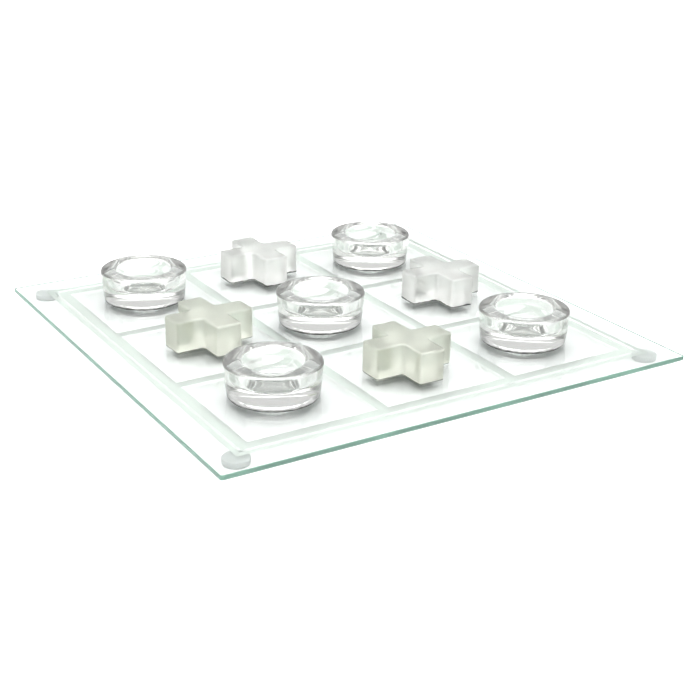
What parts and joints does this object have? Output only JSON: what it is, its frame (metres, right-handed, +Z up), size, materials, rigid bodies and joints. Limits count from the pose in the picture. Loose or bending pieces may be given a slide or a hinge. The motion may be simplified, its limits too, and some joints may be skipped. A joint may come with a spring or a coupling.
{
  "type": "tic tac toe set",
  "caption": "Square clear glass tic tac toe board on round bumpers, with an etched grid and lift-off cast glass noughts and frosted glass crosses.",
  "frame": {"origin": "on the table, below the middle of the board", "axes": "+Z up, +X along the front right edge of the board, +Y along its front left edge"},
  "size_m": [0.25, 0.25, 0.0223],
  "materials": {
    "board_glass": "clear float glass with arrised edges and a satin etched grid",
    "bumper": "clear soft polyurethane, slightly hazy",
    "cast_glass": "clear pressed glass with a fire-polished lip",
    "frosted_glass_green": "satin frosted, faintly green",
    "frosted_glass_white": "satin frosted, neutral with a frosty mottle"
  },
  "bodies": {
    "board": {"board_glass": "board_glass", "foot_front": "bumper", "foot_right": "bumper", "foot_back": "bumper", "foot_left": "bumper"},
    "nought_front": {"nought_front": "cast_glass"},
    "nought_left": {"nought_left": "cast_glass"},
    "nought_centre": {"nought_centre": "cast_glass"},
    "nought_back": {"nought_back": "cast_glass"},
    "nought_right": {"nought_right": "cast_glass"},
    "cross_front_right": {"cross_front_right": "frosted_glass_green"},
    "cross_front_left": {"cross_front_left": "frosted_glass_green"},
    "cross_back_left": {"cross_back_left": "frosted_glass_white"},
    "cross_back_right": {"cross_back_right": "frosted_glass_white"}
  },
  "joints": [
    {"name": "lift_nought_front", "type": "slide", "parent": "board", "child": "nought_front", "axis": [0, 0, 1], "range_m": [0, 0.06]},
    {"name": "lift_nought_left", "type": "slide", "parent": "board", "child": "nought_left", "axis": [0, 0, 1], "range_m": [0, 0.06]},
    {"name": "lift_nought_centre", "type": "slide", "parent": "board", "child": "nought_centre", "axis": [0, 0, 1], "range_m": [0, 0.06]},
    {"name": "lift_nought_back", "type": "slide", "parent": "board", "child": "nought_back", "axis": [0, 0, 1], "range_m": [0, 0.06]},
    {"name": "lift_nought_right", "type": "slide", "parent": "board", "child": "nought_right", "axis": [0, 0, 1], "range_m": [0, 0.06]},
    {"name": "lift_cross_front_right", "type": "slide", "parent": "board", "child": "cross_front_right", "axis": [0, 0, 1], "range_m": [0, 0.06]},
    {"name": "lift_cross_front_left", "type": "slide", "parent": "board", "child": "cross_front_left", "axis": [0, 0, 1], "range_m": [0, 0.06]},
    {"name": "lift_cross_back_left", "type": "slide", "parent": "board", "child": "cross_back_left", "axis": [0, 0, 1], "range_m": [0, 0.06]},
    {"name": "lift_cross_back_right", "type": "slide", "parent": "board", "child": "cross_back_right", "axis": [0, 0, 1], "range_m": [0, 0.06]}
  ]
}
